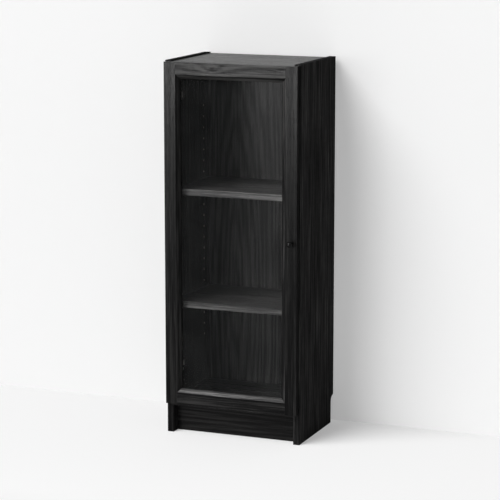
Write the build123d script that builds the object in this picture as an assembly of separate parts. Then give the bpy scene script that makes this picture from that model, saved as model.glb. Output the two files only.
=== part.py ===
from build123d import *
from math import atan2, degrees
import os

# Tower display case: a narrow veneered cabinet on a recessed plinth. Two adjustable
# shelves stand behind one framed glass door, which swings on two concealed hinges.
# Millimetres. +Z is up, the door faces -Y, and the origin is on the floor at the
# centre of the footprint.

# ---------------------------------------------------------------- carcass
cabinet_width = 400.0
side_height = 1060.0
carcass_depth = 280.0
panel_thickness = 18.0
top_drop = 3.0              # the sides rise this far above the top panel
plinth_height = 79.0
plinth_setback = 30.0
plinth_thickness = 16.0
skirting_depth = 20.0       # rear foot cut away to clear a room's skirting board
skirting_height = 80.0
skirting_land = 2.0         # straight floor of the cut before its rounded corner
back_thickness = 3.0
back_inset = 15.0           # from the back panel to the rear edges of the sides
groove_depth = 5.0
groove_end_gap = 0.5
back_lap = 15.0             # the back panel covers this much of the bottom panel's rear edge

# ---------------------------------------------------------------- fits
hole_clearance = 0.05       # radial, round a dowel, a thread, a nail or a hinge's cup
blind_gap = 1.0             # a blind hole runs this much past what it holds

# ---------------------------------------------------------------- shelves and their pins
shelf_thickness = 18.0
shelf_side_gap = 1.0
shelf_front_setback = 10.0
shelf_back_gap = 2.0
pin_hole_diameter = 5.0
pin_hole_depth = 10.0
pin_hole_pitch = 32.0
pin_hole_rows = 22
pin_hole_rise = 142.0       # from the bottom panel's top to the lowest hole
pin_row_front = 37.0        # from the front edge of the side
pin_row_rear = 53.0         # from the rear edge of the side
pin_clearance = 0.05        # radial, pin shank in its hole
pin_reach = 8.0             # the pin stands this far out of the side
pin_flat = 0.2              # the pin's top is flattened by this much
pin_collar_diameter = 9.0
pin_collar_thickness = 0.7
pin_cover = 3.8             # the pin's centre lies this far above the shelf's underside
pin_slot_clearance = 0.4
upper_shelf_height = 687.0  # each shelf's pins take the row nearest to this height
lower_shelf_height = 367.0

# ---------------------------------------------------------------- panel joints
cam_diameter = 15.0
cam_depth = 13.0
cam_setback = 24.0          # from the panel's end to the cam's centre
cam_front_setback = 60.0    # from the front edge of the side
cam_rear_setback = 60.0     # from the back panel
cam_clearance = 0.1
cam_slot_width = 2.0
cam_slot_depth = 2.5
bolt_thread_diameter = 5.0
bolt_thread_length = 11.0
bolt_shank_diameter = 6.0
bolt_bore_diameter = 7.0
bolt_overshoot = 3.0        # the bolt's head passes the cam's centre by this much
dowel_diameter = 8.0
dowel_length = 30.0
dowel_in_side = 10.0        # the rest of a panel dowel lies in the panel's end
dowel_front_setback = 28.0  # from the front edge of the side
dowel_rear_setback = 27.0   # from the back panel
plinth_dowel_heights = (20.0, 60.0)
nail_count = 4
nail_end_distance = 40.0
nail_diameter = 1.4
nail_length = 18.0
nail_head_diameter = 5.0
nail_head_height = 0.6

# ---------------------------------------------------------------- door
door_gap = 2.0              # between the carcass's front and the door's back
door_thickness = 18.0
door_reveal_hinge_side = 4.0
door_reveal_knob_side = 2.0
door_bottom_lap = 9.0       # the door covers this much of the bottom panel's front edge
member_flat = 34.0
bevel_width = 12.0
bevel_drop = 7.5
rabbet_width = 8.0
rabbet_depth = 7.0
glass_thickness = 4.0
glass_clearance = 1.0
door_dowel_inset = 9.0      # from the door's end, and from the bevel, to a dowel's centre
door_dowel_in_stile = 15.0

knob_diameter = 16.0
knob_projection = 20.0
knob_foot_diameter = 9.0
knob_neck_diameter = 7.5
knob_neck_height = 9.0
knob_dome_height = 6.0
knob_screw_diameter = 4.0
knob_screw_grip = 11.0      # the screw's length inside the knob
knob_screw_head_diameter = 8.0
knob_screw_head_height = 2.2
knob_screw_clearance = 0.25
knob_recess_depth = 3.0

pad_diameter = 10.0
pad_thickness = 1.7
pad_end_distance = 28.0     # from the door's top and bottom edges to the pads' centres

# ---------------------------------------------------------------- hinges
hinge_lower_distance = 103.0  # from the door's lower edge to the lower hinge's centre
hinge_upper_distance = 98.0   # from the door's upper edge to the upper hinge's centre
cup_diameter = 26.0
cup_depth = 11.0
cup_floor = 1.0
cup_wall = 1.0
cup_edge_gap = 3.0          # from the door's edge to the cup
flange_diameter = 29.0
flange_thickness = 0.8
ear_spacing = 42.0          # between the two screws of a cup
ear_diameter = 9.0
cup_screw_diameter = 3.0
cup_screw_length = 9.0
cup_screw_head_diameter = 6.0
cup_screw_head_height = 0.6

link_width = 2.7
link_eye_diameter = 4.8
link_anchor_diameter = 6.0
hinge_pin_diameter = 2.5
hinge_pin_clearance = 0.06  # radial, a pin in a link's eye
link_height = 6.0           # the outer link fills the upper half of the hinge, the inner the lower
link_gap = 0.3              # between the two links
pocket_clearance = 0.3      # above and below the links, in the cup and in the arm
pin_hold = 1.5              # each pin's length inside the cup or the arm's cheek
outer_anchor_offset = (18.08, 22.64)    # from the side's inner front edge
inner_anchor_offset = (26.76, 4.05)
outer_cup_pin_offset = (-7.24, -0.91)   # from the cup's centre at the door's back
inner_cup_pin_offset = (-1.96, -1.41)
outer_bend_offset = (-1.8, -8.24)
inner_bend_offset = (-2.55, -0.14)      # where the inner link meets its slotted eye
inner_slot_offset = (0.62, -0.78)       # from the cup pin, at the closed position
inner_slot_travel = 2.3
inner_slot_angle = -65.0
inner_slot_width = 3.2
inner_eye_wall = 0.8

arm_wall = 1.4
arm_rear = 60.0             # from the front edge of the side to the arm's rear end
arm_slope_end = 42.0        # where the arm's sloping back meets its flat tail
arm_foot_gap = 0.3          # between the arm and the mounting plate's base
plate_front = 27.0
plate_rib_front = 40.0
plate_thickness = 2.0
plate_rib_height = 7.0      # from the side's face to the rib that carries the arm
plate_wing_margin = 5.5     # beyond the screws' centres
plate_screw_rise = 16.0     # above and below the hinge's centre
plate_screw_diameter = 5.0
plate_screw_length = 10.0
plate_screw_head_diameter = 7.0
plate_screw_head_height = 1.2
arm_screw_place = 50.0      # from the front edge of the side
arm_screw_diameter = 4.0
arm_screw_length = 4.0
arm_screw_head_diameter = 7.0
arm_screw_head_height = 1.5


# ---------------------------------------------------------------- derived places
carcass_front = (door_gap + door_thickness + knob_projection - carcass_depth) / 2
carcass_rear = carcass_front + carcass_depth
half_width = cabinet_width / 2
inner_half = half_width - panel_thickness
top_z = side_height - top_drop
top_underside = top_z - panel_thickness
bottom_top = plinth_height + panel_thickness
back_rear = carcass_rear - back_inset
back_front = back_rear - back_thickness
back_lower = bottom_top - back_lap
groove_top = top_underside + groove_depth

door_back = carcass_front - door_gap
door_front = door_back - door_thickness
door_left = -half_width + door_reveal_hinge_side
door_right = half_width - door_reveal_knob_side
door_lower = bottom_top - door_bottom_lap
door_upper = top_z
door_center_x = (door_left + door_right) / 2
door_center_z = (door_lower + door_upper) / 2
member_width = member_flat + bevel_width
rabbet_start = member_width - rabbet_width
glass_back = door_back - rabbet_depth + glass_thickness

hinge_centers = {
    "upper": door_upper - hinge_upper_distance,
    "lower": door_lower + hinge_lower_distance,
}
lowest_hole = bottom_top + pin_hole_rise
hole_rows = (carcass_front + pin_row_front, carcass_rear - pin_row_rear)


# ---------------------------------------------------------------- helpers
def block(x, y, z):
    """A box between two limits on each axis."""
    size = Box(x[1] - x[0], y[1] - y[0], z[1] - z[0], align=(Align.MIN, Align.MIN, Align.MIN))
    return Pos(x[0], y[0], z[0]) * size


def rod(start, end, diameter):
    """A cylinder from one point to another."""
    start = Vector(*start)
    run = Vector(*end) - start
    align = (Align.CENTER, Align.CENTER, Align.MIN)
    return Plane(origin=start, z_dir=run) * Cylinder(diameter / 2, run.length, align=align)


def row(first, count, pitch):
    return [first + pitch * index for index in range(count)]


def group(solids):
    return Compound(children=list(solids))


def shifted(datum, offset):
    return (datum[0] + offset[0], datum[1] + offset[1])


def save(name, shape):
    shape.label = name
    export_step(shape, f"parts/{name}.step")


# ---------------------------------------------------------------- carcass
def side_outline():
    """The side seen from its end, with the skirting cut at its rear foot."""
    outline = Pos((carcass_front + carcass_rear) / 2, side_height / 2)
    outline = outline * Rectangle(carcass_depth, side_height)
    notch = Pos(carcass_rear - skirting_depth / 2, skirting_height / 2)
    notch = notch * Rectangle(skirting_depth, skirting_height)
    corner = notch.vertices().sort_by(Axis.Y)[-2:].sort_by(Axis.X)[0]
    return outline - fillet(corner, skirting_depth - skirting_land)


def pin_hole_heights():
    return row(lowest_hole, pin_hole_rows, pin_hole_pitch)


def joint_heights():
    """Mid-heights of the two panels that the sides carry."""
    return (plinth_height + panel_thickness / 2, top_z - panel_thickness / 2)


def dowel_places():
    """Y and Z of each dowel between a side and a panel or the plinth."""
    rows = (carcass_front + dowel_front_setback, back_front - dowel_rear_setback)
    places = [(y, z) for z in joint_heights() for y in rows]
    plinth_y = carcass_front + plinth_setback + plinth_thickness / 2
    return places + [(plinth_y, z) for z in plinth_dowel_heights]


def bolt_places():
    rows = (carcass_front + cam_front_setback, back_front - cam_rear_setback)
    return [(y, z) for z in joint_heights() for y in rows]


def dowel(side, y, z, clearance=0.0, end_gap=0.0):
    """A dowel across one side's joint, or with a clearance the hole that takes it."""
    outer = side * (inner_half + dowel_in_side + end_gap)
    inner = side * (inner_half + dowel_in_side - dowel_length - end_gap)
    return rod((outer, y, z), (inner, y, z), dowel_diameter + 2 * clearance)


def dowel_holes(side):
    return [dowel(side, y, z, hole_clearance, blind_gap) for y, z in dowel_places()]


def back_groove():
    x = inner_half + groove_depth
    return block((-x, x), (back_front, back_rear), (0, groove_top))


def bolt_bores(side):
    """Holes for the cam bolts: threaded in the side, wider in the panel's end."""
    bores = []
    for y, z in bolt_places():
        face = side * inner_half
        tip = side * (inner_half + bolt_thread_length + blind_gap)
        end = side * (inner_half - cam_setback)
        bores.append(rod((face, y, z), (tip, y, z), bolt_thread_diameter + 2 * hole_clearance))
        bores.append(rod((face, y, z), (end, y, z), bolt_bore_diameter))
    return bores


def cam_bores(side):
    x = side * (inner_half - cam_setback)
    bores = []
    for y, z in bolt_places():
        low = z - panel_thickness / 2
        bores.append(rod((x, y, low), (x, y, low + cam_depth), cam_diameter + 2 * cam_clearance))
    return bores


def pin_holes(side):
    face = side * inner_half
    end = side * (inner_half + pin_hole_depth)
    return [rod((face, y, z), (end, y, z), pin_hole_diameter)
            for y in hole_rows for z in pin_hole_heights()]


def side_panel(side):
    start = inner_half if side > 0 else -half_width
    panel = extrude(Plane.YZ.offset(start) * side_outline(), amount=panel_thickness)
    panel -= back_groove()
    return panel - dowel_holes(side) - bolt_bores(side) - pin_holes(side)


def cross_panel(y_limits, low):
    """A panel between the sides, with its dowel, bolt and cam holes at both ends."""
    panel = block((-inner_half, inner_half), y_limits, (low, low + panel_thickness))
    for side in (-1, 1):
        panel -= dowel_holes(side) + bolt_bores(side) + cam_bores(side)
    return panel


def nail(x, clearance=0.0):
    z = (back_lower + bottom_top) / 2
    return rod((x, back_rear, z), (x, back_rear - nail_length, z), nail_diameter + 2 * clearance)


def nail_places():
    first = -inner_half + nail_end_distance
    return row(first, nail_count, -2 * first / (nail_count - 1))


def nail_bores():
    return [nail(x, hole_clearance) for x in nail_places()]


def back_nail(x):
    z = (back_lower + bottom_top) / 2
    head = rod((x, back_rear, z), (x, back_rear + nail_head_height, z), nail_head_diameter)
    return nail(x) + head


def plinth_board():
    front = carcass_front + plinth_setback
    board = block((-inner_half, inner_half), (front, front + plinth_thickness), (0, plinth_height))
    for side in (-1, 1):
        board -= dowel_holes(side)
    return board


def back_board():
    x = inner_half + groove_depth - groove_end_gap
    board = block((-x, x), (back_front, back_rear), (back_lower, groove_top - groove_end_gap))
    return board - nail_bores()


def cam_lock(side, y, z):
    """A drum with a channel for the bolt's head and a cross slot for the driver."""
    low = z - panel_thickness / 2
    x = side * (inner_half - cam_setback)
    drum = rod((x, y, low), (x, y, low + cam_depth), cam_diameter)
    far = x - side * (bolt_overshoot + cam_clearance)
    drum -= rod((x + side * cam_diameter, y, z), (far, y, z), bolt_bore_diameter)
    reach = cam_diameter / 3
    half = cam_slot_width / 2
    for span_x, span_y in ((reach, half), (half, reach)):
        drum -= block((x - span_x, x + span_x), (y - span_y, y + span_y), (low, low + cam_slot_depth))
    return drum


def cam_bolt(side, y, z):
    face = side * inner_half
    tip = side * (inner_half + bolt_thread_length)
    end = side * (inner_half - cam_setback - bolt_overshoot)
    thread = rod((face, y, z), (tip, y, z), bolt_thread_diameter)
    return thread + rod((face, y, z), (end, y, z), bolt_shank_diameter)


# ---------------------------------------------------------------- shelves
pin_diameter = pin_hole_diameter - 2 * pin_clearance
pin_top = pin_diameter / 2 - pin_flat


def pin_height(wanted):
    """The height of the pin holes nearest to the one wanted."""
    return min(pin_hole_heights(), key=lambda height: abs(height - wanted))


def shelf(pin_z):
    """A shelf whose underside is slotted over its four pins."""
    low = pin_z - pin_cover
    half_length = inner_half - shelf_side_gap
    y_limits = (carcass_front + shelf_front_setback, back_front - shelf_back_gap)
    board = block((-half_length, half_length), y_limits, (low, low + shelf_thickness))
    slot_inner = inner_half - pin_reach - pin_slot_clearance
    half_slot = pin_diameter / 2 + pin_slot_clearance
    for side in (-1, 1):
        x_limits = sorted((side * slot_inner, side * inner_half))
        for y in hole_rows:
            board -= block(x_limits, (y - half_slot, y + half_slot), (low, pin_z + pin_top))
    return board


def shelf_pin(side, y, z):
    """A pin with a collar against the side and a flattened top under the shelf."""
    outer = side * (inner_half + pin_hole_depth - blind_gap)
    inner = side * (inner_half - pin_reach)
    face = side * inner_half
    collar_end = side * (inner_half - pin_collar_thickness)
    pin = rod((outer, y, z), (inner, y, z), pin_diameter)
    pin -= block(sorted((face, inner)), (y - pin_diameter, y + pin_diameter),
                 (z + pin_top, z + pin_diameter))
    return pin + rod((face, y, z), (collar_end, y, z), pin_collar_diameter)


def shelf_pins(z):
    return group(shelf_pin(side, y, z) for side in (-1, 1) for y in hole_rows)


# ---------------------------------------------------------------- door frame and glass
def member_section():
    """A door member's section: across from its outer edge, and back from its face."""
    lip_back = door_thickness - rabbet_depth
    return Polygon((0, 0), (member_flat, 0), (member_width, bevel_drop), (member_width, lip_back),
                   (rabbet_start, lip_back), (rabbet_start, door_thickness), (0, door_thickness),
                   align=None)


def door_prism(points, back=None, thickness=None):
    """An outline in the door's plane, carried through the thickness given."""
    back = door_back if back is None else back
    thickness = door_thickness if thickness is None else thickness
    return extrude(Plane.XZ.offset(-back) * Polygon(*points, align=None), amount=thickness)


def left_stile():
    """Full-height member; only its bevel is mitred to the rails."""
    stile = extrude(member_section(), amount=door_upper - door_lower)
    stile = Pos(door_left, door_front, door_lower) * stile
    flat, inner = door_left + member_flat, door_left + member_width
    outline = [(door_left, door_lower), (flat, door_lower), (flat, door_lower + member_flat),
               (inner, door_lower + member_width), (inner, door_upper - member_width),
               (flat, door_upper - member_flat), (flat, door_upper), (door_left, door_upper)]
    return stile & door_prism(outline)


def bottom_rail():
    """Member between the stiles' flats, mitred to them along the bevel."""
    left, right = door_left + member_flat, door_right - member_flat
    start = Plane(origin=(right, door_front, door_lower), x_dir=(0, 0, 1), z_dir=(-1, 0, 0))
    rail = extrude(start * member_section(), amount=right - left)
    outline = [(left, door_lower), (right, door_lower), (right, door_lower + member_flat),
               (door_right - member_width, door_lower + member_width),
               (door_left + member_width, door_lower + member_width),
               (left, door_lower + member_flat)]
    return rail & door_prism(outline)


def door_dowels(clearance=0.0, end_gap=0.0):
    """Two dowels at each corner of the frame, or with a clearance their holes."""
    y = (door_front + door_back) / 2
    length_in_rail = dowel_length - door_dowel_in_stile + end_gap
    heights = []
    for inset in (door_dowel_inset, member_flat - door_dowel_inset):
        heights += [door_lower + inset, door_upper - inset]
    dowels = []
    for joint, inward in ((door_left + member_flat, 1), (door_right - member_flat, -1)):
        outer = joint - inward * (door_dowel_in_stile + end_gap)
        inner = joint + inward * length_in_rail
        for z in heights:
            dowels.append(rod((outer, y, z), (inner, y, z), dowel_diameter + 2 * clearance))
    return dowels


def bead_outlines():
    """Four strips round the rabbet, mitred to each other, by side."""
    x0, x1 = door_left + rabbet_start, door_right - rabbet_start
    z0, z1 = door_lower + rabbet_start, door_upper - rabbet_start
    w = rabbet_width
    return {
        "left": [(x0, z0), (x0 + w, z0 + w), (x0 + w, z1 - w), (x0, z1)],
        "right": [(x1, z0), (x1, z1), (x1 - w, z1 - w), (x1 - w, z0 + w)],
        "bottom": [(x0, z0), (x1, z0), (x1 - w, z0 + w), (x0 + w, z0 + w)],
        "top": [(x0, z1), (x0 + w, z1 - w), (x1 - w, z1 - w), (x1, z1)],
    }


def glass_pane():
    inset = rabbet_start + glass_clearance
    return block((door_left + inset, door_right - inset), (glass_back - glass_thickness, glass_back),
                 (door_lower + inset, door_upper - inset))


# ---------------------------------------------------------------- knob
knob_x = door_right - member_flat / 2
knob_z = door_center_z


def knob():
    """A turned mushroom knob, threaded for its screw."""
    foot, neck, head = knob_foot_diameter / 2, knob_neck_diameter / 2, knob_diameter / 2
    rim = knob_projection - knob_dome_height
    profile = make_face([
        Line((0, 0), (foot, 0)),
        ThreePointArc((foot, 0), (neck, knob_neck_height), (head, rim)),
        TangentArc((0, knob_projection), (head, rim), tangent=(1, 0)),
        Line((0, knob_projection), (0, 0)),
    ])
    turned = revolve(Plane.XZ * profile, Axis.Z)
    turned -= rod((0, 0, 0), (0, 0, knob_screw_grip + blind_gap),
                  knob_screw_diameter + 2 * hole_clearance)
    return Plane(origin=(knob_x, door_front, knob_z), z_dir=(0, -1, 0)) * turned


def knob_screw(clearance=0.0):
    """The knob's screw with its head in a recess, or with a clearance the hole for both."""
    head_bottom = door_back - knob_recess_depth
    head_top = door_back if clearance else head_bottom + knob_screw_head_height
    shank = rod((knob_x, head_bottom, knob_z), (knob_x, door_front - knob_screw_grip, knob_z),
                knob_screw_diameter + 2 * clearance)
    return shank + rod((knob_x, head_bottom, knob_z), (knob_x, head_top, knob_z),
                       knob_screw_head_diameter + 2 * clearance)


def bumper_pads():
    x = half_width - panel_thickness / 2
    heights = (door_lower + pad_end_distance, door_upper - pad_end_distance)
    return group(rod((x, carcass_front, z), (x, carcass_front - pad_thickness, z), pad_diameter)
                 for z in heights)


# ---------------------------------------------------------------- hinges
# A hinge is a four-bar linkage in plan: two links turn on pins in the arm, which is
# fixed to the side, and the cup in the door turns on pins at the links' other ends.
side_datum = (-inner_half, carcass_front)
cup_datum = (door_left + cup_edge_gap + cup_diameter / 2, door_back)
outer_anchor = shifted(side_datum, outer_anchor_offset)
inner_anchor = shifted(side_datum, inner_anchor_offset)
outer_cup_pin = shifted(cup_datum, outer_cup_pin_offset)
inner_cup_pin = shifted(cup_datum, inner_cup_pin_offset)
outer_bend = shifted(cup_datum, outer_bend_offset)
inner_bend = shifted(cup_datum, inner_bend_offset)
inner_slot_center = shifted(inner_cup_pin, inner_slot_offset)
pocket_half_height = link_gap / 2 + link_height + pocket_clearance
pin_half_length = pocket_half_height + pin_hold
arm_half_height = pocket_half_height + arm_wall
eye_diameter = hinge_pin_diameter + 2 * hinge_pin_clearance
cup_back = door_back + flange_thickness


def disc(center, diameter):
    return Pos(*center) * Circle(diameter / 2)


def strap(start, end, width):
    """A plan strip with round ends between two centres."""
    run_x, run_y = end[0] - start[0], end[1] - start[1]
    middle = ((start[0] + end[0]) / 2, (start[1] + end[1]) / 2)
    length = (run_x ** 2 + run_y ** 2) ** 0.5
    angle = degrees(atan2(run_y, run_x))
    return Pos(*middle) * SlotCenterToCenter(length, width, rotation=angle)


def slab(plan, low, high):
    return Pos(0, 0, low) * extrude(plan, amount=high - low)


def arm_pins(z):
    """Pins right through the arm, one for each link."""
    return [rod((*center, z - pin_half_length), (*center, z + pin_half_length), hinge_pin_diameter)
            for center in (outer_anchor, inner_anchor)]


def cup_pins(z):
    """Stub pins held in one wall of the cup's slot each, so that the links pass them."""
    return [rod((*outer_cup_pin, z), (*outer_cup_pin, z + pin_half_length), hinge_pin_diameter),
            rod((*inner_cup_pin, z), (*inner_cup_pin, z - pin_half_length), hinge_pin_diameter)]


def outer_link(z):
    """A cranked link that reaches round the side's front edge."""
    plan = strap(outer_anchor, outer_bend, link_width) + strap(outer_bend, outer_cup_pin, link_width)
    plan += [disc(outer_anchor, link_anchor_diameter), disc(outer_cup_pin, link_eye_diameter)]
    plan -= [disc(outer_anchor, eye_diameter), disc(outer_cup_pin, eye_diameter)]
    return slab(plan, z + link_gap / 2, z + link_gap / 2 + link_height)


def inner_link(z):
    """A link whose cup end is slotted, so that it follows the cup with play."""
    slot = Pos(*inner_slot_center) * SlotCenterToCenter(
        inner_slot_travel, inner_slot_width, rotation=inner_slot_angle)
    eye_width = inner_slot_width + 2 * inner_eye_wall
    eye = Pos(*inner_slot_center) * SlotCenterToCenter(
        inner_slot_travel, eye_width, rotation=inner_slot_angle)
    plan = strap(inner_anchor, inner_bend, link_width) + eye
    plan += disc(inner_anchor, link_anchor_diameter)
    plan -= [slot, disc(inner_anchor, eye_diameter)]
    return slab(plan, z - link_gap / 2 - link_height, z - link_gap / 2)


def ear_heights(z):
    return (z - ear_spacing / 2, z + ear_spacing / 2)


def cup_screw(screw_z, clearance=0.0):
    x, y = cup_datum
    tip = cup_back - cup_screw_length
    return rod((x, cup_back, screw_z), (x, tip, screw_z), cup_screw_diameter + 2 * clearance)


def cup_screws(z):
    x = cup_datum[0]
    screws = []
    for screw_z in ear_heights(z):
        head = rod((x, cup_back, screw_z), (x, cup_back + cup_screw_head_height, screw_z),
                   cup_screw_head_diameter)
        screws.append(cup_screw(screw_z) + head)
    return group(screws)


def cup(z):
    """Cast drum and flange with screw ears, open along a slot that takes the links."""
    x, y = cup_datum
    body = rod((x, y, z), (x, y - cup_depth, z), cup_diameter)
    flange = rod((x, y, z), (x, cup_back, z), flange_diameter)
    half_ear = ear_diameter / 2
    low, high = ear_heights(z)
    strip = block((x - half_ear, x + half_ear), (y, cup_back), (low, high))
    ears = [rod((x, y, ear_z), (x, cup_back, ear_z), ear_diameter) for ear_z in (low, high)]
    body += [flange, strip] + ears
    well = rod((x, cup_back, z), (x, y - cup_depth + cup_floor, z), cup_diameter - 2 * cup_wall)
    slot_z = (z - pocket_half_height, z + pocket_half_height)
    well = well & block((x - cup_diameter, x + cup_diameter), (y - cup_depth, cup_back), slot_z)
    body -= well
    body -= cup_pins(z)
    return body - [cup_screw(screw_z, hole_clearance) for screw_z in ear_heights(z)]


def cup_seat(z):
    """What the cup and its screws need cut out of the stile."""
    x, y = cup_datum
    bore = rod((x, y, z), (x, y - cup_depth - hole_clearance, z), cup_diameter + 2 * hole_clearance)
    return [bore] + [cup_screw(screw_z, hole_clearance) for screw_z in ear_heights(z)]


def arm_outline():
    """The arm in plan: a nose round both anchors, sloping down to a flat tail."""
    foot_x = -inner_half + plate_thickness + arm_foot_gap
    back_x = -inner_half + plate_rib_height + arm_wall
    y0, y1 = carcass_front + arm_slope_end, carcass_front + arm_rear
    tail = Pos((foot_x + back_x) / 2, (y0 + y1) / 2) * Rectangle(back_x - foot_x, y1 - y0)
    nose = disc(inner_anchor, link_anchor_diameter) + disc(outer_anchor, link_anchor_diameter)
    return make_hull([*nose.edges(), Line((foot_x, y0), (back_x, y0))]) + tail


def rib_block(z, front_gap=0.0):
    """The plate's rib under the arm, or with a gap the channel that straddles it."""
    front = carcass_front + plate_rib_front - front_gap
    rear = carcass_front + arm_rear + front_gap
    return block((-inner_half, -inner_half + plate_rib_height), (front, rear),
                 (z - pocket_half_height, z + pocket_half_height))


def arm_screw_shank(z, clearance=0.0):
    y = carcass_front + arm_screw_place
    rib_x = -inner_half + plate_rib_height
    return rod((rib_x - arm_screw_length, y, z), (rib_x + arm_wall, y, z),
               arm_screw_diameter + 2 * clearance)


def arm_screw(z):
    y = carcass_front + arm_screw_place
    back_x = -inner_half + plate_rib_height + arm_wall
    head = rod((back_x, y, z), (back_x + arm_screw_head_height, y, z), arm_screw_head_diameter)
    return arm_screw_shank(z) + head


def arm(z):
    """Cast arm: two cheeks round the links, and a channel that straddles the plate's rib."""
    body = slab(arm_outline(), z - arm_half_height, z + arm_half_height)
    pocket_rear = outer_anchor[1] + link_anchor_diameter / 2 + pocket_clearance
    body -= block((-inner_half, door_center_x), (carcass_front, pocket_rear),
                  (z - pocket_half_height, z + pocket_half_height))
    body -= [rib_block(z, arm_foot_gap), arm_screw_shank(z, hole_clearance)]
    return body - arm_pins(z)


def plate_screw(screw_z, clearance=0.0):
    y = carcass_front + pin_row_front
    face = -inner_half + plate_thickness
    tip = -inner_half - plate_screw_length - (blind_gap if clearance else 0)
    return rod((face, y, screw_z), (tip, y, screw_z), plate_screw_diameter + 2 * clearance)


def plate_screw_heights(z):
    return (z - plate_screw_rise, z + plate_screw_rise)


def plate_screws(z):
    y = carcass_front + pin_row_front
    face = -inner_half + plate_thickness
    screws = []
    for screw_z in plate_screw_heights(z):
        head = rod((face, y, screw_z), (face + plate_screw_head_height, y, screw_z),
                   plate_screw_head_diameter)
        screws.append(plate_screw(screw_z) + head)
    return group(screws)


def mounting_plate(z):
    x = (-inner_half, -inner_half + plate_thickness)
    low, high = plate_screw_heights(z)
    y = carcass_front + pin_row_front
    base = block(x, (carcass_front + plate_front, carcass_front + arm_rear),
                 (z - arm_half_height, z + arm_half_height))
    wing = block(x, (y - plate_wing_margin, y + plate_wing_margin), (low, high))
    ends = [rod((x[0], y, end_z), (x[1], y, end_z), 2 * plate_wing_margin) for end_z in (low, high)]
    plate = base + [wing, rib_block(z)] + ends
    plate -= [plate_screw(screw_z, hole_clearance) for screw_z in (low, high)]
    return plate - arm_screw_shank(z, hole_clearance)


def hinge_pieces(z):
    """Every piece of the hinge whose centre is at this height, by name."""
    return {
        "cup": cup(z),
        "cup_screws": cup_screws(z),
        "outer_link": outer_link(z),
        "inner_link": inner_link(z),
        "arm_pins": group(arm_pins(z)),
        "cup_pins": group(cup_pins(z)),
        "arm": arm(z),
        "mounting_plate": mounting_plate(z),
        "plate_screws": plate_screws(z),
        "arm_screw": arm_screw(z),
    }


# ---------------------------------------------------------------- output
def build_carcass():
    hinge_screws = [plate_screw(screw_z, hole_clearance)
                    for z in hinge_centers.values() for screw_z in plate_screw_heights(z)]
    save("side_panel_left", side_panel(-1) - hinge_screws)
    save("side_panel_right", side_panel(1))
    top = cross_panel((carcass_front, carcass_rear), top_underside) - back_groove()
    save("top_panel", top)
    save("bottom_panel", cross_panel((carcass_front, back_front), plinth_height) - nail_bores())
    save("plinth", plinth_board())
    save("back_panel", back_board())
    sides = (-1, 1)
    save("cam_locks", group(cam_lock(side, *place) for side in sides for place in bolt_places()))
    save("cam_bolts", group(cam_bolt(side, *place) for side in sides for place in bolt_places()))
    save("carcass_dowels", group(dowel(side, *place) for side in sides for place in dowel_places()))
    save("back_nails", group(back_nail(x) for x in nail_places()))


def build_shelves():
    for name, wanted in (("upper", upper_shelf_height), ("lower", lower_shelf_height)):
        save(f"shelf_{name}", shelf(pin_height(wanted)))
        save(f"shelf_pins_{name}", shelf_pins(pin_height(wanted)))


def build_door():
    stile, rail = left_stile(), bottom_rail()
    right_stile = mirror(stile, about=Plane.YZ.offset(door_center_x))
    top_rail = mirror(rail, about=Plane.XY.offset(door_center_z))
    holes = door_dowels(hole_clearance, blind_gap)
    seats = [cut for z in hinge_centers.values() for cut in cup_seat(z)]
    save("door_stile_left", stile - holes - seats)
    save("door_stile_right", right_stile - holes - knob_screw(knob_screw_clearance))
    save("door_rail_bottom", rail - holes)
    save("door_rail_top", top_rail - holes)
    save("door_dowels", group(door_dowels()))
    save("glass_pane", glass_pane())
    for name, outline in bead_outlines().items():
        save(f"bead_{name}", door_prism(outline, door_back, door_back - glass_back))
    save("knob", knob())
    save("knob_screw", knob_screw())
    save("bumper_pads", bumper_pads())


def build_hinges():
    for place, z in hinge_centers.items():
        for name, piece in hinge_pieces(z).items():
            save(f"{place}_{name}", piece)


os.makedirs("parts", exist_ok=True)
build_carcass()
build_shelves()
build_door()
build_hinges()
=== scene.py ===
from math import radians

import bpy
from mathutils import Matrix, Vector


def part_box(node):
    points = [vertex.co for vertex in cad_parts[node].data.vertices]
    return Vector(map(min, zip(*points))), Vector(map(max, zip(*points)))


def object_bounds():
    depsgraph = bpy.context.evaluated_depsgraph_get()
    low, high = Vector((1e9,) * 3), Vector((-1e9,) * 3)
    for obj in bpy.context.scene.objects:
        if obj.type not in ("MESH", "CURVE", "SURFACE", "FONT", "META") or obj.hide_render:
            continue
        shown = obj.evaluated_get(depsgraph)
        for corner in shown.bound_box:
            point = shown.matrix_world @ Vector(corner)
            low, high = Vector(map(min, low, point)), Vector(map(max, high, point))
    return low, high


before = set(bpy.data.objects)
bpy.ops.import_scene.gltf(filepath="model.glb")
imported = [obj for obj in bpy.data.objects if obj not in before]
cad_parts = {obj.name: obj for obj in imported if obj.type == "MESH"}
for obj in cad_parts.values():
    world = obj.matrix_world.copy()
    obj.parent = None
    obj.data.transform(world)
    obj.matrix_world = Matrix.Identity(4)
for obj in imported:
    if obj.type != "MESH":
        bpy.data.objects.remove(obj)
cad_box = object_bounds()
scene = bpy.context.scene

# Metres, in the part's own frame: +Z up, the door faces -Y, the floor is z = 0.

# ---------------------------------------------------------------- camera
AIM = Vector((0.0, 0.011, 0.517))
CAMERA_DISTANCE = 5.841
AZIMUTH = 21.865            # degrees round from the cabinet's front, towards its right side
PITCH = 10.55               # degrees down from the horizon
LENS = 148.46               # millimetres, on a sensor 36 wide

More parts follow.
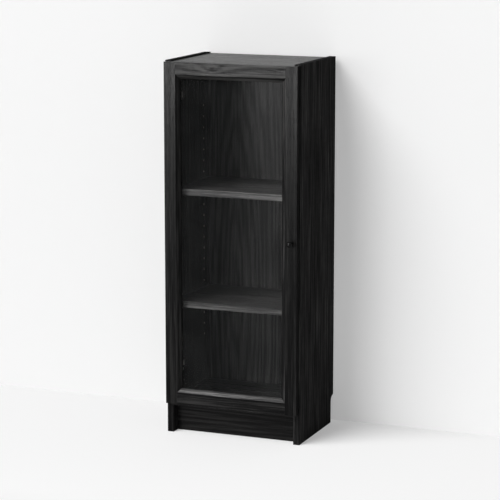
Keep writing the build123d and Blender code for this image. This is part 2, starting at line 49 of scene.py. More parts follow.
# ---------------------------------------------------------------- backdrop
WALL_GAP = 0.012            # from the cabinet's back to the wall
STAGE_REACH = 6.0
NEAR_REACH = 0.75           # the floor returns light up to here in front of the cabinet
FAR_REACH = 1.5             # and from here on is an even glow only
FAR_COLOUR = 0.25           # as a share of the near floor's colour
FLOOR_COLOUR = 0.93
FLOOR_GLOW = 0.99
FLOOR_SHARE = 0.30          # how much of the floor's look is its even glow
WALL_COLOUR = 0.91
WALL_GLOW = 0.975
WALL_SHARE = 0.31
WALL_EVEN = (0.85, 0.136, 0.02)     # the wall's gain at its foot, upwards and rightwards
BRIGHTEST_GAIN = 1.05

# ---------------------------------------------------------------- lights
ROOM_GLOW = 0.90            # how bright the room looks
WORLD_STRENGTH = 0.25       # how strongly it lights
KEY_DIRECTION = Vector((-0.385, -0.55, 0.74))
KEY_STRENGTH = 2.8
KEY_ANGLE = 36.0            # degrees
LAMP_AIM = Vector((0, -0.14, 0.85))
FILL_PLACE = Vector((-1.05, -4.00, 1.35))
FILL_SIZE = (1.5, 1.2)
FILL_POWER = 35.0
SHEEN_PLACE = Vector((-1.65, -4.00, 1.07))      # shows in the gloss of the door only
SHEEN_SIZE = (1.4, 0.85)
SHEEN_POWER = 225.0

# ---------------------------------------------------------------- places on the CAD nodes
BEVEL_FRONT = -0.140        # the door's front face, where its bevels start
NOTCH_FRONT = 0.139         # the skirting notch runs back from here
NOTCH_TOP = 0.081           # and down from here
SKIN = 0.0006               # deeper than this in a panel is its bare core

# ---------------------------------------------------------------- rounded arrises
ARRIS = 0.0004
ARRIS_SEGMENTS = 2
ARRIS_ANGLE = 35            # degrees between faces
WELD_REACH = 0.00001
FLAT_ANGLE = 0.5            # degrees: faces this close are one face

# ---------------------------------------------------------------- veneer
# Each noise has its scale across, into and along the grain, then its detail and roughness.
# Each range is of the value that counts, and four numbers add what it turns into.
WANDER = (7, 7, 2.2)
WANDER_DETAIL = 1.5
WANDER_REACH = (0.016, 0.016, 0.0)
UNEVENNESS = ((60, 60, 5), 3.0)
SPACING = ((25, 25, 0.8), 2.0)
BANDS = ((75, 75, 3.0), 3.0, 0.6)
STREAKS = ((190, 190, 4.5), 4.0, 0.6)
FIBRES = ((850, 850, 14), 3.0, 0.65)
PORES = ((1500, 1500, 45), 1.0)
CLOUDS = ((9, 9, 2.5), 2.0)
# Growth rings
HEART_DEPTH = 0.012         # the cut passes this far from the heart
RING_DENSITY = 420.0        # radians in a metre
RING_UNEVENNESS = 4.0
RING_SPACING = 22.0
RING_POWER = 0.7
# A knot on the surface. Its size is the radius in which the grain feels it.
KNOT_SHAPE = (1.0, 0.0, 0.45)       # drawn out along the grain
KNOT_FADE = -0.9
KNOT_PARTING = 0.65         # how far the grain parts round it
KNOT_RINGS = 2.5
KNOT_CORE = (0.55, 0.2)     # its core fades in between these shares of its size
KNOT_DARKNESS = 0.5
KNOT_ROUGHNESS = 0.08
LEAST_KNOT = 0.0001         # stands in for no knot
# How much of the grain each part makes up
RING_SHARE = 0.22
STREAK_SHARE = 0.41
BAND_SHARE = 0.14
FIBRE_SHARE = 0.33
PORE_SHARE = 0.16
# Where each noise starts and stops counting
MIDDLE_RANGE = (0.3, 0.7)
BAND_RANGE = (0.32, 0.68)
PORE_RANGE = (0.60, 0.68)
GRAIN_RANGE = (0.22, 0.82)
# Cut ends are plain
END_FACING = (0.6, 0.8)
END_CONTRAST = 0.15
END_LEVEL = 0.3
# The stain's colours, and where in the grain they lie
STAIN_DARK = (0.15, (0.0012, 0.0012, 0.0013, 1))
STAIN_MIDDLE = (0.5, (0.0068, 0.0067, 0.0067, 1))
STAIN_PALE = (0.85, (0.024, 0.0236, 0.0232, 1))
CLOUD_TONES = (0.82, 1.18)
# How far a face has to turn to count as the front, a bevel, the top or a side
FRONT_FACING = (-0.5, -0.9)
BEVEL_FACING = (-0.4, -0.6)
BEVEL_NOT_FRONT = (-0.95, -0.8)
FACING = (0.5, 0.9)
# A painted highlight on a bevel: strong near the front, weak deeper in, and following the grain's
# bands
BEVEL_SHALLOW = 0.0035
BEVEL_DEEP = 0.0055
BEVEL_DEEP_HIGHLIGHT = 0.25
BEVEL_BANDS = (0.0, 0.6, 0.65, 1.0)
# Arrises rubbed pale
WEAR_SAMPLES = 4
WOOD_WEAR = (0.0012, 0.8, 0.985)    # reach, and the turn between full wear and none
WEAR_STREAKS = (0.35, 0.6, 0.1, 0.55)
WEAR_COLOUR = (0.03, 0.029, 0.028, 1)
# Gloss and relief
WOOD_ROUGHNESS = (0.33, 0.25)       # of the darkest grain and of the palest
PORE_ROUGHNESS = 0.2
FIBRE_HEIGHT = 0.5
STREAK_HEIGHT = 0.6
PORE_HEIGHT = -1.5
WOOD_RELIEF = {"Strength": 0.5, "Distance": 0.00018}
# Bare particle board
CHIPS = ((700, 700, 700), 3.0, 0.7)
CHIP_COLOURS = ((0.42, 0.38, 0.33, 1), (0.72, 0.68, 0.62, 1))
# The carcass's side panels are duller than the rest
SIDE_FINISH = {"gloss": 0.015, "top_roughness": 0.6, "side_roughness": 0.6}
BACK_HEART = (-0.095, 0.50)         # from the middle of the back panel, and above the floor
RAIL_KNOT = (0.34, 0.66)            # shares of the top rail's length and height

# ---------------------------------------------------------------- other materials
COLOUR_RANGE = (0.35, 0.65)
BEECH_FLECKS = ((60, 900, 900), 3.0)
BEECH_COLOURS = ((0.42, 0.26, 0.14, 1), (0.60, 0.42, 0.26, 1))
BEECH_ROUGHNESS = 0.6
BEECH_RELIEF = {"Strength": 0.3, "Distance": 0.0001}
# A metal's colours, then its least and greatest roughness
ZINC = ((0.54, 0.54, 0.54, 1), (0.66, 0.66, 0.66, 1), 0.38, 0.50)
NICKEL = ((0.32, 0.31, 0.295, 1), (0.40, 0.39, 0.37, 1), 0.30, 0.40)
METALLIC = 0.8
METAL_MOTTLE = ((500, 500, 500), 4.0, 0.6)
METAL_WEAR = (0.0004, 0.8, 0.98)
METAL_EDGE_GAIN = 1.2
METAL_RELIEF = {"Strength": 0.06, "Distance": 0.00005}
EDGE_SHARE = 0.4            # how strongly an edge shows its wear
LACQUER_PEEL = (900.0, 2.0)
LACQUER_COLOURS = ((0.0012, 0.0012, 0.0012, 1), (0.006, 0.006, 0.006, 1))
LACQUER_WEAR = (0.0008, 0.8, 0.98)
LACQUER_ROUGHNESS = (0.08, 0.13)
LACQUER_GLOSS = 0.10
LACQUER_RELIEF = {"Strength": 0.08, "Distance": 0.00005}
RUBBER_DUST = (700.0, 4.0)
RUBBER_RANGE = (0.4, 0.65)
RUBBER_COLOURS = ((0.30, 0.30, 0.29, 1), (0.42, 0.42, 0.41, 1))
RUBBER_ROUGHNESS = (0.45, 0.65)
GLASS_DUST = (14.0, 4.0, 0.6)
GLASS_COLOURS = ((0.06, 0.062, 0.062, 1), (0.10, 0.102, 0.102, 1))
GLASS_HAZE = 0.055
GLASS_ROUGHNESS = 0.03


# ---------------------------------------------------------------- node helpers
def add(tree, kind, inputs=None, **settings):
    """Adds a shader node. An input is a plain value, or the output that feeds it."""
    made = tree.nodes.new("ShaderNode" + kind)
    for key, value in settings.items():
        setattr(made, key, value)
    for key, value in (inputs or {}).items():
        if isinstance(value, bpy.types.NodeSocket):
            tree.links.new(value, made.inputs[key])
        else:
            made.inputs[key].default_value = value
    return made


def compute(tree, operation, first, second=0.0, third=0.0, clamp=False):
    return add(tree, "Math", {0: first, 1: second, 2: third},
               operation=operation, use_clamp=clamp).outputs[0]


def vector(tree, operation, first, second=(0, 0, 0)):
    return add(tree, "VectorMath", {0: first, 1: second}, operation=operation).outputs[0]


def noise(tree, place, scale, detail=2.0, roughness=0.5):
    made = add(tree, "TexNoise", {"Vector": place, "Scale": scale, "Detail": detail,
                                  "Roughness": roughness})
    return made.outputs["Fac"]


def stretched_noise(tree, place, scale, detail=2.0, roughness=0.5):
    """Noise with a scale for each axis."""
    return noise(tree, vector(tree, "MULTIPLY", place, scale), 1.0, detail, roughness)


def spread(tree, value, low, high, to_low=0.0, to_high=1.0):
    made = add(tree, "MapRange", {"Value": value, "From Min": low, "From Max": high,
                                  "To Min": to_low, "To Max": to_high}, clamp=True)
    return made.outputs["Result"]


def mix_colour(tree, factor, first, second, blend="MIX"):
    made = add(tree, "Mix", {"Factor": factor}, data_type="RGBA", blend_type=blend)
    for index, value in ((6, first), (7, second)):
        if isinstance(value, bpy.types.NodeSocket):
            tree.links.new(value, made.inputs[index])
        else:
            made.inputs[index].default_value = value
    return made.outputs[2]


def material(name):
    made = bpy.data.materials.new(name)
    made.use_nodes = True
    made.node_tree.nodes.clear()
    return made, made.node_tree


def surface(tree, shader):
    output = add(tree, "OutputMaterial")
    tree.links.new(shader, output.inputs["Surface"])


def principled(tree, **inputs):
    named = {key.replace("_", " "): value for key, value in inputs.items()}
    return add(tree, "BsdfPrincipled", named).outputs["BSDF"]


def edge_wear(tree, radius, low, high):
    """1 along the edges of a solid, 0 on its faces."""
    rounded = add(tree, "Bevel", {"Radius": radius}, samples=WEAR_SAMPLES).outputs["Normal"]
    flat = add(tree, "NewGeometry").outputs["Normal"]
    turn = add(tree, "VectorMath", {0: rounded, 1: flat},
               operation="DOT_PRODUCT").outputs["Value"]
    return spread(tree, turn, high, low)


# ---------------------------------------------------------------- wood
def veneer_group():
    """Black-stained veneer. Its place runs across the grain in X, into the face in Y and
    along the grain in Z."""
    tree = bpy.data.node_groups.new("veneer", "ShaderNodeTree")
    sockets = tree.interface
    for name in ("Place", "Heart", "Knot"):
        sockets.new_socket(name, in_out="INPUT", socket_type="NodeSocketVector")
    for name, value in (("Slope", 0.1), ("Figure", 1.0), ("Knot Size", 0.0), ("Seed", 0.0),
                        ("Tone", 1.0), ("Front Tone", 1.0), ("Bevel Tone", 1.0),
                        ("Top Roughness", 0.0), ("Side Roughness", 0.0), ("Contrast", 1.0),
                        ("End", 0.0)):
        made = sockets.new_socket(name, in_out="INPUT", socket_type="NodeSocketFloat")
        made.default_value = value
    for name, kind in (("Color", "Color"), ("Roughness", "Float"), ("Normal", "Vector")):
        sockets.new_socket(name, in_out="OUTPUT", socket_type="NodeSocket" + kind)
    given = tree.nodes.new("NodeGroupInput").outputs
    place = given["Place"]
    shift = add(tree, "CombineXYZ", {"X": given["Seed"], "Y": given["Seed"], "Z": given["Seed"]})
    seeded = vector(tree, "ADD", place, shift.outputs[0])
    knotted = compute(tree, "GREATER_THAN", given["Knot Size"], 0.0)

    # The grain wanders slowly.
    wander = add(tree, "TexNoise", {"Vector": vector(tree, "MULTIPLY", seeded, WANDER),
                                    "Scale": 1.0, "Detail": WANDER_DETAIL}).outputs["Color"]
    wander = vector(tree, "SUBTRACT", wander, (0.5, 0.5, 0.5))
    bent = vector(tree, "ADD", place, vector(tree, "MULTIPLY", wander, WANDER_REACH))

    # It parts round a knot.
    from_knot = vector(tree, "MULTIPLY", vector(tree, "SUBTRACT", place, given["Knot"]),
                       KNOT_SHAPE)
    distance = add(tree, "VectorMath", {0: from_knot}, operation="LENGTH").outputs["Value"]
    ratio = compute(tree, "DIVIDE", distance,
                    compute(tree, "MAXIMUM", given["Knot Size"], LEAST_KNOT))
    pull = compute(tree, "EXPONENT", compute(tree, "MULTIPLY", ratio, KNOT_FADE))
    pull = compute(tree, "MULTIPLY", pull, knotted)
    aside = add(tree, "CombineXYZ", {"X": compute(tree, "MULTIPLY", pull, KNOT_PARTING)})
    seeded = vector(tree, "SUBTRACT", seeded,
                    vector(tree, "MULTIPLY", from_knot, aside.outputs[0]))
    core = compute(tree, "MULTIPLY", spread(tree, ratio, *KNOT_CORE), knotted)

    # Growth rings cut at a slant: nested arches along the board.
    heart = vector(tree, "SUBTRACT", bent, given["Heart"])
    parts = add(tree, "SeparateXYZ", {0: heart}).outputs
    depth = compute(tree, "MULTIPLY_ADD", parts["Z"], given["Slope"], HEART_DEPTH)
    ring = compute(tree, "SQRT", compute(tree, "ADD", compute(tree, "POWER", parts["X"], 2.0),
                                         compute(tree, "POWER", depth, 2.0)))
    ring = compute(tree, "MULTIPLY_ADD", compute(tree, "MULTIPLY", pull, KNOT_RINGS),
                   given["Knot Size"], ring)
    phase = compute(tree, "MULTIPLY_ADD", stretched_noise(tree, seeded, *UNEVENNESS),
                    RING_UNEVENNESS, compute(tree, "MULTIPLY", ring, RING_DENSITY))
    phase = compute(tree, "MULTIPLY_ADD", stretched_noise(tree, seeded, *SPACING),
                    RING_SPACING, phase)
    rings = compute(tree, "MULTIPLY_ADD", compute(tree, "SINE", phase), 0.5, 0.5)
    rings = compute(tree, "POWER", rings, RING_POWER)

    # Streaks, fibres and pores drawn out along the grain.
    bands = spread(tree, stretched_noise(tree, seeded, *BANDS), *BAND_RANGE)
    raw_streaks = stretched_noise(tree, seeded, *STREAKS)
    streaks = spread(tree, raw_streaks, *MIDDLE_RANGE)
    fibres = spread(tree, stretched_noise(tree, seeded, *FIBRES), *MIDDLE_RANGE)
    pores = spread(tree, stretched_noise(tree, seeded, *PORES), *PORE_RANGE)
    grain = compute(tree, "MULTIPLY", rings,
                    compute(tree, "MULTIPLY", given["Figure"], RING_SHARE))
    for layer, share in ((streaks, STREAK_SHARE), (bands, BAND_SHARE), (fibres, FIBRE_SHARE)):
        grain = compute(tree, "MULTIPLY_ADD", layer, share, grain)
    grain = spread(tree, grain, *GRAIN_RANGE)
    grain = compute(tree, "MULTIPLY_ADD", compute(tree, "SUBTRACT", grain, 0.5),
                    given["Contrast"], 0.5)
    end = spread(tree, given["End"], *END_FACING)
    on_faces = compute(tree, "MULTIPLY", grain, compute(tree, "SUBTRACT", 1.0, end))
    on_ends = compute(tree, "MULTIPLY", end,
                      compute(tree, "MULTIPLY_ADD", grain, END_CONTRAST, END_LEVEL))
    grain = compute(tree, "ADD", on_faces, on_ends)
    grain = compute(tree, "SUBTRACT", grain, compute(tree, "MULTIPLY", pores, PORE_SHARE))
    grain = compute(tree, "MULTIPLY_ADD", core, -KNOT_DARKNESS, grain, clamp=True)

    # The stain's tone drifts. Faces turned to the front, towards the lamps, are painted lighter
    # (painted light), and the bevels carry a painted highlight.
    ramp = add(tree, "ValToRGB", {"Fac": grain})
    stops = ramp.color_ramp.elements
    stops[0].position, stops[0].color = STAIN_DARK
    stops[1].position, stops[1].color = STAIN_PALE
    stops.new(STAIN_MIDDLE[0]).color = STAIN_MIDDLE[1]
    clouds = stretched_noise(tree, seeded, *CLOUDS)
    tone = compute(tree, "MULTIPLY", given["Tone"],
                   spread(tree, clouds, *MIDDLE_RANGE, *CLOUD_TONES))
    facing = add(tree, "SeparateXYZ", {0: add(tree, "TexCoord").outputs["Normal"]}).outputs
    front = spread(tree, facing["Y"], *FRONT_FACING)
    # Painted highlight: a mask of the bevel faces, which lightens their stain near the front edge
    bevel_highlight_mask = compute(tree, "MULTIPLY", spread(tree, facing["Y"], *BEVEL_FACING),
                    spread(tree, facing["Y"], *BEVEL_NOT_FRONT))
    inward = add(tree, "SeparateXYZ", {0: place}).outputs["Y"]
    bevel_highlight_mask = compute(tree, "MULTIPLY", bevel_highlight_mask,
                    spread(tree, inward, BEVEL_FRONT + BEVEL_DEEP, BEVEL_FRONT + BEVEL_SHALLOW,
                           BEVEL_DEEP_HIGHLIGHT, 1.0))
    bevel_highlight_mask = compute(tree, "MULTIPLY", bevel_highlight_mask, spread(tree, bands, *BEVEL_BANDS))
    # Painted light on the front faces and a painted highlight on the bevels, as gains on the
    # stain's tone
    for amount, given_tone in ((front, "Front Tone"), (bevel_highlight_mask, "Bevel Tone")):
        gain = compute(tree, "MULTIPLY_ADD",
                       compute(tree, "SUBTRACT", given[given_tone], 1.0), amount, 1.0)
        tone = compute(tree, "MULTIPLY", tone, gain)
    tone = add(tree, "CombineColor", {0: tone, 1: tone, 2: tone}).outputs[0]
    colour = mix_colour(tree, 1.0, ramp.outputs["Color"], tone, "MULTIPLY")
    rubbed = compute(tree, "MULTIPLY", edge_wear(tree, *WOOD_WEAR),
                     spread(tree, raw_streaks, *WEAR_STREAKS))
    colour = mix_colour(tree, rubbed, colour, WEAR_COLOUR)

    rough = spread(tree, grain, 0.0, 1.0, *WOOD_ROUGHNESS)
    rough = compute(tree, "MULTIPLY_ADD", pores, PORE_ROUGHNESS, rough)
    upward = spread(tree, facing["Z"], *FACING)
    rough = compute(tree, "MULTIPLY_ADD", upward, given["Top Roughness"], rough, clamp=True)
    sideways = spread(tree, compute(tree, "ABSOLUTE", facing["X"]), *FACING)
    rough = compute(tree, "MULTIPLY_ADD", sideways, given["Side Roughness"], rough, clamp=True)
    rough = compute(tree, "MULTIPLY_ADD", core, KNOT_ROUGHNESS, rough)
    height = compute(tree, "MULTIPLY_ADD", fibres, FIBRE_HEIGHT, rings)
    height = compute(tree, "MULTIPLY_ADD", pores, PORE_HEIGHT, height)
    height = compute(tree, "MULTIPLY_ADD", streaks, STREAK_HEIGHT, height)
    bump = add(tree, "Bump", {"Height": height, **WOOD_RELIEF})

    given_out = tree.nodes.new("NodeGroupOutput")
    tree.links.new(colour, given_out.inputs["Color"])
    tree.links.new(rough, given_out.inputs["Roughness"])
    tree.links.new(bump.outputs["Normal"], given_out.inputs["Normal"])
    return tree


VENEER = veneer_group()


def raw_core(tree, colour, low, high):
    """Bare particle board wherever a hole or groove runs in from the panel's faces. The
    skirting notch is stained."""
    place = add(tree, "TexCoord").outputs["Object"]
    offset = vector(tree, "SUBTRACT", place, tuple((low + high) / 2))
    depth = vector(tree, "SUBTRACT", vector(tree, "ABSOLUTE", offset), tuple((high - low) / 2))
    parts = add(tree, "SeparateXYZ", {0: depth}).outputs
    nearest = compute(tree, "MAXIMUM", parts["X"], parts["Y"])
    nearest = compute(tree, "MAXIMUM", nearest, parts["Z"])
    inside = compute(tree, "LESS_THAN", nearest, -SKIN)
    spot = add(tree, "SeparateXYZ", {0: place}).outputs
    notch = compute(tree, "MULTIPLY", compute(tree, "GREATER_THAN", spot["Y"], NOTCH_FRONT),
                    compute(tree, "LESS_THAN", spot["Z"], NOTCH_TOP))
    inside = compute(tree, "SUBTRACT", inside, notch, clamp=True)
    chips = stretched_noise(tree, place, *CHIPS)
    board = mix_colour(tree, spread(tree, chips, *COLOUR_RANGE), *CHIP_COLOURS)
    return mix_colour(tree, inside, colour, board)


def veneer(name, axes, seed, heart=(0, 0, 0), knot=(0, 0, 0), gloss=0.042, core=None, **cut):
    """A veneer cut of its own. axes names the part's axes across, into and along the grain.
    heart and knot are points in the part's frame, core is the node whose core may show, and
    cut sets the veneer group's other inputs."""
    made, tree = material("veneer_" + name)
    part_axes = add(tree, "SeparateXYZ", {0: add(tree, "TexCoord").outputs["Object"]}).outputs
    place = add(tree, "CombineXYZ", {index: part_axes[axis.upper()]
                                     for index, axis in enumerate(axes)})
    turned = ["xyz".index(axis) for axis in axes]
    facing = add(tree, "SeparateXYZ", {0: add(tree, "TexCoord").outputs["Normal"]}).outputs
    end = compute(tree, "ABSOLUTE", facing[axes[2].upper()])
    group = add(tree, "Group", {}, node_tree=VENEER)
    tree.links.new(place.outputs[0], group.inputs["Place"])
    tree.links.new(end, group.inputs["End"])
    group.inputs["Heart"].default_value = [heart[index] for index in turned]
    group.inputs["Knot"].default_value = [knot[index] for index in turned]
    group.inputs["Seed"].default_value = seed
    for key, value in cut.items():
        group.inputs[key.replace("_", " ").title()].default_value = value
    colour = group.outputs["Color"]
    if core:
        colour = raw_core(tree, colour, *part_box(core))
    surface(tree, principled(tree, Base_Color=colour, Roughness=group.outputs["Roughness"],
                             Normal=group.outputs["Normal"], Specular_IOR_Level=gloss))
    return made


# ---------------------------------------------------------------- other materials
def beech():
    """Pale turned dowels."""
    made, tree = material("beech")
    place = add(tree, "TexCoord").outputs["Object"]
    flecks = stretched_noise(tree, place, *BEECH_FLECKS)
    colour = mix_colour(tree, spread(tree, flecks, *COLOUR_RANGE), *BEECH_COLOURS)
    bump = add(tree, "Bump", {"Height": flecks, **BEECH_RELIEF})
    surface(tree, principled(tree, Base_Color=colour, Roughness=BEECH_ROUGHNESS,
                             Normal=bump.outputs["Normal"]))
    return made


def metal(name, dark, light, rough_low, rough_high):
    """Plated metal: faint mottling, brighter on its edges."""
    made, tree = material(name)
    place = add(tree, "TexCoord").outputs["Object"]
    mottle = stretched_noise(tree, place, *METAL_MOTTLE)
    colour = mix_colour(tree, spread(tree, mottle, *COLOUR_RANGE), dark, light)
    wear = edge_wear(tree, *METAL_WEAR)
    worn = tuple(min(1.0, METAL_EDGE_GAIN * part) for part in light[:3]) + (1,)
    colour = mix_colour(tree, compute(tree, "MULTIPLY", wear, EDGE_SHARE), colour, worn)
    bump = add(tree, "Bump", {"Height": mottle, **METAL_RELIEF})
    rough = spread(tree, mottle, *MIDDLE_RANGE, rough_low, rough_high)
    surface(tree, principled(tree, Base_Color=colour, Metallic=METALLIC, Roughness=rough,
                             Normal=bump.outputs["Normal"]))
    return made


def lacquer():
    """Glossy black paint on the knob."""
    made, tree = material("lacquer")
    place = add(tree, "TexCoord").outputs["Object"]
    peel = noise(tree, place, *LACQUER_PEEL)
    wear = edge_wear(tree, *LACQUER_WEAR)
    colour = mix_colour(tree, compute(tree, "MULTIPLY", wear, EDGE_SHARE), *LACQUER_COLOURS)
    bump = add(tree, "Bump", {"Height": peel, **LACQUER_RELIEF})
    rough = spread(tree, peel, *MIDDLE_RANGE, *LACQUER_ROUGHNESS)
    surface(tree, principled(tree, Base_Color=colour, Specular_IOR_Level=LACQUER_GLOSS,
                             Roughness=rough, Normal=bump.outputs["Normal"]))
    return made


def rubber():
    """Clear-grey soft pads."""
    made, tree = material("rubber")
    place = add(tree, "TexCoord").outputs["Object"]
    dust = noise(tree, place, *RUBBER_DUST)
    colour = mix_colour(tree, spread(tree, dust, *RUBBER_RANGE), *RUBBER_COLOURS)
    rough = spread(tree, dust, *MIDDLE_RANGE, *RUBBER_ROUGHNESS)
    surface(tree, principled(tree, Base_Color=colour, Roughness=rough))
    return made


def glass():
    """A clear pane with a thin haze of dust."""
    made, tree = material("glass")
    place = add(tree, "TexCoord").outputs["Object"]
    dust = noise(tree, place, *GLASS_DUST)
    haze = mix_colour(tree, spread(tree, dust, *COLOUR_RANGE), *GLASS_COLOURS)
    surface(tree, principled(tree, Base_Color=haze, Roughness=GLASS_ROUGHNESS, Alpha=GLASS_HAZE,
                             Specular_IOR_Level=0.0))
    return made


def seen_rays(tree):
    """1 for what the camera sees, outright or in metal and glass, and 0 for light."""
    rays = add(tree, "LightPath").outputs
    seen = compute(tree, "ADD", rays["Is Camera Ray"], rays["Is Glossy Ray"])
    return compute(tree, "ADD", seen, rays["Is Transmission Ray"], clamp=True)


def backdrop_look(name, colour, glow, share, foot=1.0, up=0.0, right=0.0):
    """A pale matt sheet, seen from its front only. Part of its look is an even glow, which
    lights nothing."""
    made, tree = material(name)
    place = add(tree, "TexCoord").outputs["Object"]
    forward = add(tree, "SeparateXYZ", {0: place}).outputs["Y"]
    near = add(tree, "MapRange", {"Value": forward, "From Min": -FAR_REACH,
                                  "From Max": -NEAR_REACH},
               interpolation_type="SMOOTHSTEP").outputs["Result"]
    gain = add(tree, "VectorMath", {0: place, 1: (right, 0, up)},
               operation="DOT_PRODUCT").outputs["Value"]
    gain = compute(tree, "MINIMUM", compute(tree, "ADD", gain, foot), BRIGHTEST_GAIN)
    shade = compute(tree, "MULTIPLY", gain, spread(tree, near, 0, 1, FAR_COLOUR * colour, colour))
    tint = add(tree, "CombineColor", {0: shade, 1: shade, 2: shade}).outputs[0]
    matt = add(tree, "BsdfDiffuse", {"Color": tint}).outputs[0]
    even = add(tree, "Emission", {"Color": (1, 1, 1, 1), "Strength": glow}).outputs[0]
    factor = compute(tree, "MULTIPLY", seen_rays(tree), spread(tree, near, 0, 1, 1.0, share))
    sheet = add(tree, "MixShader", {0: factor, 1: matt, 2: even}).outputs[0]
    rear = add(tree, "NewGeometry").outputs["Backfacing"]
    through = add(tree, "BsdfTransparent").outputs[0]
    surface(tree, add(tree, "MixShader", {0: rear, 1: sheet, 2: through}).outputs[0])
    return made


# ---------------------------------------------------------------- finishing the CAD nodes
def finish_node(name, look, edge=0.0):
    """Gives a CAD node its material and, with an edge, small rounded arrises."""
    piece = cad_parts[name]
    piece.data.materials.clear()
    piece.data.materials.append(look)
    if edge:
        weld = piece.modifiers.new("weld", "WELD")
        weld.merge_threshold = WELD_REACH
        flat = piece.modifiers.new("flat", "DECIMATE")
        flat.decimate_type = "DISSOLVE"
        flat.angle_limit = radians(FLAT_ANGLE)
        soft = piece.modifiers.new("arris", "BEVEL")
        soft.width = edge
        soft.segments = ARRIS_SEGMENTS
        soft.limit_method = "ANGLE"
        soft.angle_limit = radians(ARRIS_ANGLE)
        soft.harden_normals = True


def centre(node):
    low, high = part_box(node)
    return (low + high) / 2


def finish_wood():
    back_heart = (centre("back_panel").x + BACK_HEART[0], 0, BACK_HEART[1])
    rail_low, rail_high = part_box("door_rail_top")
    along, above = RAIL_KNOT
    rail_knot = Vector((rail_low.x + along * (rail_high.x - rail_low.x), rail_low.y,
                        rail_low.z + above * (rail_high.z - rail_low.z)))
    cuts = {
        "side_panel_left": veneer(
            "side_left", "yxz", 1.3, heart=(0, 0.06, 0.3), slope=0.03, figure=0.5, tone=1.3,
            contrast=0.65, core="side_panel_left", **SIDE_FINISH),
        "side_panel_right": veneer(
            "side_right", "yxz", 2.7, heart=(0, 0.02, -0.2), slope=0.05, figure=0.4, tone=2.5,
            contrast=0.75, core="side_panel_right", **SIDE_FINISH),
        "top_panel": veneer(
            "top", "yzx", 3.1, heart=(0.5, 0.05, 0), slope=0.05, contrast=0.85,
            core="top_panel"),
        "bottom_panel": veneer(
            "bottom", "yzx", 4.9, heart=(0.3, 0.0, 0), slope=0.06, tone=1.15, contrast=0.9,
            core="bottom_panel"),
        "plinth": veneer(
            "plinth", "zyx", 5.2, heart=(0.2, 0, 0.05), slope=0.03, tone=1.1, contrast=0.5,
            gloss=0.04),
        # On the back panel and the shelves, the faces turned to the front are painted lighter:
        # painted light
        "back_panel": veneer(
            "back", "xyz", 6.8, heart=back_heart, slope=0.11, figure=1.25, tone=1.3,
            front_tone=3.5, contrast=0.5),
        "shelf_upper": veneer(
            "shelf_upper", "yzx", 7.15, heart=(0.2, 0, 0), slope=0.05, tone=4.6,
            front_tone=2.25, contrast=0.6),
        "shelf_lower": veneer(
            "shelf_lower", "yzx", 8.4, heart=(-0.3, 0.05, 0), slope=0.05, tone=3.9,
            front_tone=1.95, contrast=0.6),
        "door_stile_left": veneer(
            "stile_left", "xyz", 9.6, heart=(-0.1, 0, 0.4), slope=0.02, figure=0.6, tone=0.75,
            contrast=1.3, side_roughness=0.6),
        # Its low tone paints shade on its faces other than the front, such as the door's right
        # edge. Its front and bevel are painted lighter.
        "door_stile_right": veneer(
            "stile_right", "xyz", 10.5, heart=(0.1, 0, 0.2), slope=0.02, figure=0.6, tone=0.4,
            front_tone=2.2, bevel_tone=6.0, contrast=1.2, side_roughness=0.6),
        "door_rail_top": veneer(
            "rail_top", "zyx", 11.9, heart=(0.1, 0, 1.0), slope=0.05, figure=1.0, tone=1.9,
            contrast=1.2, gloss=0.034, knot=rail_knot, knot_size=0.012),
        # Its lower bevel's pale strip is a painted highlight
        "door_rail_bottom": veneer(
            "rail_bottom", "zyx", 12.2, heart=(0.1, 0, 0.0), slope=0.05, figure=0.7, tone=1.2,
            bevel_tone=10.0),
        "bead_left": veneer("bead_left", "xyz", 13.4),
        "bead_right": veneer("bead_right", "xyz", 14.1),
        "bead_top": veneer("bead_top", "zyx", 15.8),
        "bead_bottom": veneer("bead_bottom", "zyx", 16.6),
    }
    for name, look in cuts.items():
        finish_node(name, look, ARRIS)
    dowels = beech()
    for name in ("carcass_dowels", "door_dowels"):
        finish_node(name, dowels)


def finish_fittings():
    zinc = metal("zinc", *ZINC)
    nickel = metal("nickel", *NICKEL)
    for name in ("cam_locks", "cam_bolts", "back_nails", "shelf_pins_upper", "shelf_pins_lower",
                 "knob_screw"):
        finish_node(name, zinc)
    for place in ("upper", "lower"):
        for piece in ("cup", "arm", "mounting_plate", "outer_link", "inner_link", "arm_pins",
                      "cup_pins", "cup_screws", "plate_screws", "arm_screw"):
            finish_node(f"{place}_{piece}", nickel)
    finish_node("knob", lacquer())
    finish_node("bumper_pads", rubber())
    finish_node("glass_pane", glass())


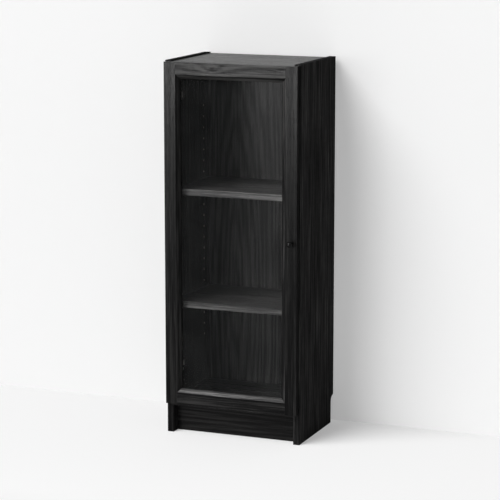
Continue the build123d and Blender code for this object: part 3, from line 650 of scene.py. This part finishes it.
# ---------------------------------------------------------------- stage
def backdrop():
    """A floor and, just behind the cabinet, a wall."""
    wall_y = cad_box[1].y + WALL_GAP
    near, far = -STAGE_REACH, STAGE_REACH
    sheets = {
        "floor": ([(near, near, 0), (far, near, 0), (far, far, 0), (near, far, 0)],
                  backdrop_look("floor", FLOOR_COLOUR, FLOOR_GLOW, FLOOR_SHARE)),
        "wall": ([(near, wall_y, 0), (far, wall_y, 0), (far, wall_y, far), (near, wall_y, far)],
                 backdrop_look("wall", WALL_COLOUR, WALL_GLOW, WALL_SHARE, *WALL_EVEN)),
    }
    for name, (corners, look) in sheets.items():
        mesh = bpy.data.meshes.new(name)
        mesh.from_pydata(corners, [], [(0, 1, 2, 3)])
        mesh.materials.append(look)
        made = bpy.data.objects.new(name, mesh)
        scene.collection.objects.link(made)
        if name == "wall":
            made.visible_diffuse = False
            made.visible_shadow = False


def lamp(name, kind, energy, place, aim, **settings):
    data = bpy.data.lights.new(name, kind)
    data.energy = energy
    for key, value in settings.items():
        setattr(data, key, value)
    made = bpy.data.objects.new(name, data)
    made.location = place
    made.rotation_mode = "QUATERNION"
    made.rotation_quaternion = (aim - place).to_track_quat("-Z", "Y")
    scene.collection.objects.link(made)
    return made


def lights():
    lamp("key", "SUN", KEY_STRENGTH, KEY_DIRECTION, Vector(), angle=radians(KEY_ANGLE))
    lamp("fill", "AREA", FILL_POWER, FILL_PLACE, LAMP_AIM, shape="RECTANGLE",
         size=FILL_SIZE[0], size_y=FILL_SIZE[1])
    sheen = lamp("sheen", "AREA", SHEEN_POWER, SHEEN_PLACE, LAMP_AIM, shape="RECTANGLE",
                 size=SHEEN_SIZE[0], size_y=SHEEN_SIZE[1])
    sheen.visible_diffuse = False
    world = bpy.data.worlds.new("room")
    world.use_nodes = True
    tree = world.node_tree
    background = tree.nodes["Background"]
    background.inputs["Color"].default_value = (1, 1, 1, 1)
    strength = spread(tree, seen_rays(tree), 0, 1, WORLD_STRENGTH, ROOM_GLOW)
    tree.links.new(strength, background.inputs["Strength"])
    scene.world = world


def camera():
    data = bpy.data.cameras.new("camera")
    data.lens = LENS
    made = bpy.data.objects.new("camera", data)
    made.rotation_euler = (radians(90 - PITCH), 0, radians(AZIMUTH))
    made.location = AIM + made.rotation_euler.to_matrix() @ Vector((0, 0, CAMERA_DISTANCE))
    scene.collection.objects.link(made)
    scene.camera = made


finish_wood()
finish_fittings()
backdrop()
lights()
camera()
scene.view_settings.view_transform = "Standard"
